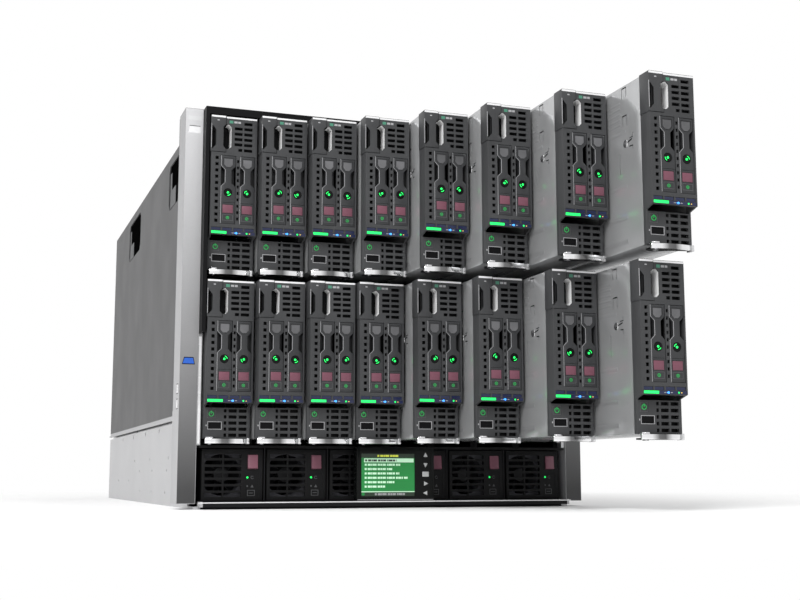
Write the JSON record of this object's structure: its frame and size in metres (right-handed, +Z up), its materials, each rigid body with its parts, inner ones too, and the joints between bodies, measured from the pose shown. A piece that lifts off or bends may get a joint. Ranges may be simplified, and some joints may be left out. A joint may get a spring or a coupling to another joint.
{
  "type": "blade server chassis",
  "caption": "Rack enclosure with two rows of pull-out server blades, hinged levers, power supplies below and a sliding display.",
  "frame": {"origin": "middle of the underside of the bottom plate, at the middle of the enclosure's depth", "axes": "+X to the right seen from the front, +Y to the back, +Z up"},
  "size_m": [0.4842, 1.1538, 0.4436],
  "materials": {
    "galvanised": "galvanised sheet",
    "grey_paint": "satin",
    "base_sheet": "galvanised sheet",
    "liner": "galvanised sheet",
    "board": "solder mask",
    "pillar": "silver lacquer",
    "black_trim": "satin",
    "fan_plastic": "moulded",
    "module_sheet": "satin",
    "display_black": "gloss",
    "psu_black": "satin",
    "blade_metal": "grey cover on a galvanised case",
    "lever_chrome": "bright bar on a black plate",
    "rotor_plastic": "moulded"
  },
  "bodies": {
    "enclosure": {"base_pan": "base_sheet", "decks": "galvanised", "side_panels": "grey_paint", "inner_walls": "liner", "top_cover": "grey_paint", "midplane": "board", "pillars": "pillar", "front_trim": "black_trim", "rear_cage": "galvanised", "fan_housings": "fan_plastic", "rear_modules": "module_sheet", "psu_3": "psu_black", "psu_4": "psu_black"},
    "display": {"display": "display_black"},
    "psu_1": {"psu_1": "psu_black"},
    "psu_2": {"psu_2": "psu_black"},
    "psu_5": {"psu_5": "psu_black"},
    "psu_6": {"psu_6": "psu_black"},
    "blade_upper_1": {"blade_upper_1": "blade_metal"},
    "lever_upper_1": {"lever_upper_1": "lever_chrome"},
    "blade_upper_2": {"blade_upper_2": "blade_metal"},
    "lever_upper_2": {"lever_upper_2": "lever_chrome"},
    "blade_upper_3": {"blade_upper_3": "blade_metal"},
    "lever_upper_3": {"lever_upper_3": "lever_chrome"},
    "blade_upper_4": {"blade_upper_4": "blade_metal"},
    "lever_upper_4": {"lever_upper_4": "lever_chrome"},
    "blade_upper_5": {"blade_upper_5": "blade_metal"},
    "lever_upper_5": {"lever_upper_5": "lever_chrome"},
    "blade_upper_6": {"blade_upper_6": "blade_metal"},
    "lever_upper_6": {"lever_upper_6": "lever_chrome"},
    "blade_upper_7": {"blade_upper_7": "blade_metal"},
    "lever_upper_7": {"lever_upper_7": "lever_chrome"},
    "blade_upper_8": {"blade_upper_8": "blade_metal"},
    "lever_upper_8": {"lever_upper_8": "lever_chrome"},
    "blade_lower_1": {"blade_lower_1": "blade_metal"},
    "lever_lower_1": {"lever_lower_1": "lever_chrome"},
    "blade_lower_2": {"blade_lower_2": "blade_metal"},
    "lever_lower_2": {"lever_lower_2": "lever_chrome"},
    "blade_lower_3": {"blade_lower_3": "blade_metal"},
    "lever_lower_3": {"lever_lower_3": "lever_chrome"},
    "blade_lower_4": {"blade_lower_4": "blade_metal"},
    "lever_lower_4": {"lever_lower_4": "lever_chrome"},
    "blade_lower_5": {"blade_lower_5": "blade_metal"},
    "lever_lower_5": {"lever_lower_5": "lever_chrome"},
    "blade_lower_6": {"blade_lower_6": "blade_metal"},
    "lever_lower_6": {"lever_lower_6": "lever_chrome"},
    "blade_lower_7": {"blade_lower_7": "blade_metal"},
    "lever_lower_7": {"lever_lower_7": "lever_chrome"},
    "blade_lower_8": {"blade_lower_8": "blade_metal"},
    "lever_lower_8": {"lever_lower_8": "lever_chrome"},
    "rotor_upper_1": {"rotor_upper_1": "rotor_plastic"},
    "rotor_upper_2": {"rotor_upper_2": "rotor_plastic"},
    "rotor_upper_3": {"rotor_upper_3": "rotor_plastic"},
    "rotor_upper_4": {"rotor_upper_4": "rotor_plastic"},
    "rotor_upper_5": {"rotor_upper_5": "rotor_plastic"},
    "rotor_lower_1": {"rotor_lower_1": "rotor_plastic"},
    "rotor_lower_2": {"rotor_lower_2": "rotor_plastic"},
    "rotor_lower_3": {"rotor_lower_3": "rotor_plastic"},
    "rotor_lower_4": {"rotor_lower_4": "rotor_plastic"},
    "rotor_lower_5": {"rotor_lower_5": "rotor_plastic"}
  },
  "joints": [
    {"name": "display_slide", "type": "slide", "parent": "enclosure", "child": "display", "axis": [1, 0, 0], "range_m": [-0.072, 0.072]},
    {"name": "psu_1_slide", "type": "slide", "parent": "enclosure", "child": "psu_1", "axis": [0, -1, 0], "range_m": [0, 0.36]},
    {"name": "psu_2_slide", "type": "slide", "parent": "enclosure", "child": "psu_2", "axis": [0, -1, 0], "range_m": [0, 0.36]},
    {"name": "psu_5_slide", "type": "slide", "parent": "enclosure", "child": "psu_5", "axis": [0, 1, 0], "range_m": [-0.36, 0]},
    {"name": "psu_6_slide", "type": "slide", "parent": "enclosure", "child": "psu_6", "axis": [0, -1, 0], "range_m": [0, 0.36]},
    {"name": "blade_upper_1_slide", "type": "slide", "parent": "enclosure", "child": "blade_upper_1", "axis": [0, -1, 0], "range_m": [-0.002, 0.438]},
    {"name": "lever_upper_1_hinge", "type": "hinge", "parent": "blade_upper_1", "child": "lever_upper_1", "pos_m": [-0.20885, -0.4153, 0.25676], "axis": [0, 0, -1], "range_deg": [0, 80]},
    {"name": "blade_upper_2_slide", "type": "slide", "parent": "enclosure", "child": "blade_upper_2", "axis": [0, -1, 0], "range_m": [-0.016, 0.424]},
    {"name": "lever_upper_2_hinge", "type": "hinge", "parent": "blade_upper_2", "child": "lever_upper_2", "pos_m": [-0.15465, -0.4293, 0.25676], "axis": [0, 0, -1], "range_deg": [0, 80]},
    {"name": "blade_upper_3_slide", "type": "slide", "parent": "enclosure", "child": "blade_upper_3", "axis": [0, -1, 0], "range_m": [-0.029, 0.411]},
    {"name": "lever_upper_3_hinge", "type": "hinge", "parent": "blade_upper_3", "child": "lever_upper_3", "pos_m": [-0.10045, -0.4423, 0.25676], "axis": [0, 0, -1], "range_deg": [0, 80]},
    {"name": "blade_upper_4_slide", "type": "slide", "parent": "enclosure", "child": "blade_upper_4", "axis": [0, -1, 0], "range_m": [-0.054, 0.386]},
    {"name": "lever_upper_4_hinge", "type": "hinge", "parent": "blade_upper_4", "child": "lever_upper_4", "pos_m": [-0.04625, -0.4673, 0.25676], "axis": [0, 0, -1], "range_deg": [0, 80]},
    {"name": "blade_upper_5_slide", "type": "slide", "parent": "enclosure", "child": "blade_upper_5", "axis": [0, -1, 0], "range_m": [-0.096, 0.344]},
    {"name": "lever_upper_5_hinge", "type": "hinge", "parent": "blade_upper_5", "child": "lever_upper_5", "pos_m": [0.00795, -0.5093, 0.25676], "axis": [0, 0, -1], "range_deg": [0, 80]},
    {"name": "blade_upper_6_slide", "type": "slide", "parent": "enclosure", "child": "blade_upper_6", "axis": [0, -1, 0], "range_m": [-0.143, 0.297]},
    {"name": "lever_upper_6_hinge", "type": "hinge", "parent": "blade_upper_6", "child": "lever_upper_6", "pos_m": [0.06215, -0.5563, 0.25676], "axis": [0, 0, -1], "range_deg": [0, 80]},
    {"name": "blade_upper_7_slide", "type": "slide", "parent": "enclosure", "child": "blade_upper_7", "axis": [0, -1, 0], "range_m": [-0.212, 0.228]},
    {"name": "lever_upper_7_hinge", "type": "hinge", "parent": "blade_upper_7", "child": "lever_upper_7", "pos_m": [0.11635, -0.6253, 0.25676], "axis": [0, 0, -1], "range_deg": [0, 80]},
    {"name": "blade_upper_8_slide", "type": "slide", "parent": "enclosure", "child": "blade_upper_8", "axis": [0, -1, 0], "range_m": [-0.293, 0.147]},
    {"name": "lever_upper_8_hinge", "type": "hinge", "parent": "blade_upper_8", "child": "lever_upper_8", "pos_m": [0.17055, -0.7063, 0.25676], "axis": [0, 0, -1], "range_deg": [0, 80]},
    {"name": "blade_lower_1_slide", "type": "slide", "parent": "enclosure", "child": "blade_lower_1", "axis": [0, -1, 0], "range_m": [0, 0.44]},
    {"name": "lever_lower_1_hinge", "type": "hinge", "parent": "blade_lower_1", "child": "lever_lower_1", "pos_m": [-0.20885, -0.4133, 0.0722], "axis": [0, 0, -1], "range_deg": [0, 80]},
    {"name": "blade_lower_2_slide", "type": "slide", "parent": "enclosure", "child": "blade_lower_2", "axis": [0, -1, 0], "range_m": [-0.014, 0.426]},
    {"name": "lever_lower_2_hinge", "type": "hinge", "parent": "blade_lower_2", "child": "lever_lower_2", "pos_m": [-0.15465, -0.4273, 0.0722], "axis": [0, 0, -1], "range_deg": [0, 80]},
    {"name": "blade_lower_3_slide", "type": "slide", "parent": "enclosure", "child": "blade_lower_3", "axis": [0, -1, 0], "range_m": [-0.027, 0.413]},
    {"name": "lever_lower_3_hinge", "type": "hinge", "parent": "blade_lower_3", "child": "lever_lower_3", "pos_m": [-0.10045, -0.4403, 0.0722], "axis": [0, 0, -1], "range_deg": [0, 80]},
    {"name": "blade_lower_4_slide", "type": "slide", "parent": "enclosure", "child": "blade_lower_4", "axis": [0, -1, 0], "range_m": [-0.035, 0.405]},
    {"name": "lever_lower_4_hinge", "type": "hinge", "parent": "blade_lower_4", "child": "lever_lower_4", "pos_m": [-0.04625, -0.4483, 0.0722], "axis": [0, 0, -1], "range_deg": [0, 80]},
    {"name": "blade_lower_5_slide", "type": "slide", "parent": "enclosure", "child": "blade_lower_5", "axis": [0, -1, 0], "range_m": [-0.073, 0.367]},
    {"name": "lever_lower_5_hinge", "type": "hinge", "parent": "blade_lower_5", "child": "lever_lower_5", "pos_m": [0.00795, -0.4863, 0.0722], "axis": [0, 0, -1], "range_deg": [0, 80]},
    {"name": "blade_lower_6_slide", "type": "slide", "parent": "enclosure", "child": "blade_lower_6", "axis": [0, -1, 0], "range_m": [-0.115, 0.325]},
    {"name": "lever_lower_6_hinge", "type": "hinge", "parent": "blade_lower_6", "child": "lever_lower_6", "pos_m": [0.06215, -0.5283, 0.0722], "axis": [0, 0, -1], "range_deg": [0, 80]},
    {"name": "blade_lower_7_slide", "type": "slide", "parent": "enclosure", "child": "blade_lower_7", "axis": [0, -1, 0], "range_m": [-0.182, 0.258]},
    {"name": "lever_lower_7_hinge", "type": "hinge", "parent": "blade_lower_7", "child": "lever_lower_7", "pos_m": [0.11635, -0.5953, 0.0722], "axis": [0, 0, -1], "range_deg": [0, 80]},
    {"name": "blade_lower_8_slide", "type": "slide", "parent": "enclosure", "child": "blade_lower_8", "axis": [0, -1, 0], "range_m": [-0.264, 0.176]},
    {"name": "lever_lower_8_hinge", "type": "hinge", "parent": "blade_lower_8", "child": "lever_lower_8", "pos_m": [0.17055, -0.6773, 0.0722], "axis": [0, 0, -1], "range_deg": [0, 80]},
    {"name": "rotor_upper_1_spin", "type": "hinge", "parent": "enclosure", "child": "rotor_upper_1", "pos_m": [-0.17428, 0.3765, 0.39136], "axis": [0, 1, 0], "continuous": true},
    {"name": "rotor_upper_2_spin", "type": "hinge", "parent": "enclosure", "child": "rotor_upper_2", "pos_m": [-0.08714, 0.3765, 0.39136], "axis": [0, 1, 0], "continuous": true},
    {"name": "rotor_upper_3_spin", "type": "hinge", "parent": "enclosure", "child": "rotor_upper_3", "pos_m": [0, 0.3765, 0.39136], "axis": [0, 1, 0], "continuous": true},
    {"name": "rotor_upper_4_spin", "type": "hinge", "parent": "enclosure", "child": "rotor_upper_4", "pos_m": [0.08714, 0.3765, 0.39136], "axis": [0, 1, 0], "continuous": true},
    {"name": "rotor_upper_5_spin", "type": "hinge", "parent": "enclosure", "child": "rotor_upper_5", "pos_m": [0.17428, 0.3765, 0.39136], "axis": [0, 1, 0], "continuous": true},
    {"name": "rotor_lower_1_spin", "type": "hinge", "parent": "enclosure", "child": "rotor_lower_1", "pos_m": [-0.17428, 0.3765, 0.1112], "axis": [0, 1, 0], "continuous": true},
    {"name": "rotor_lower_2_spin", "type": "hinge", "parent": "enclosure", "child": "rotor_lower_2", "pos_m": [-0.08714, 0.3765, 0.1112], "axis": [0, 1, 0], "continuous": true},
    {"name": "rotor_lower_3_spin", "type": "hinge", "parent": "enclosure", "child": "rotor_lower_3", "pos_m": [0, 0.3765, 0.1112], "axis": [0, 1, 0], "continuous": true},
    {"name": "rotor_lower_4_spin", "type": "hinge", "parent": "enclosure", "child": "rotor_lower_4", "pos_m": [0.08714, 0.3765, 0.1112], "axis": [0, 1, 0], "continuous": true},
    {"name": "rotor_lower_5_spin", "type": "hinge", "parent": "enclosure", "child": "rotor_lower_5", "pos_m": [0.17428, 0.3765, 0.1112], "axis": [0, 1, 0], "continuous": true}
  ]
}
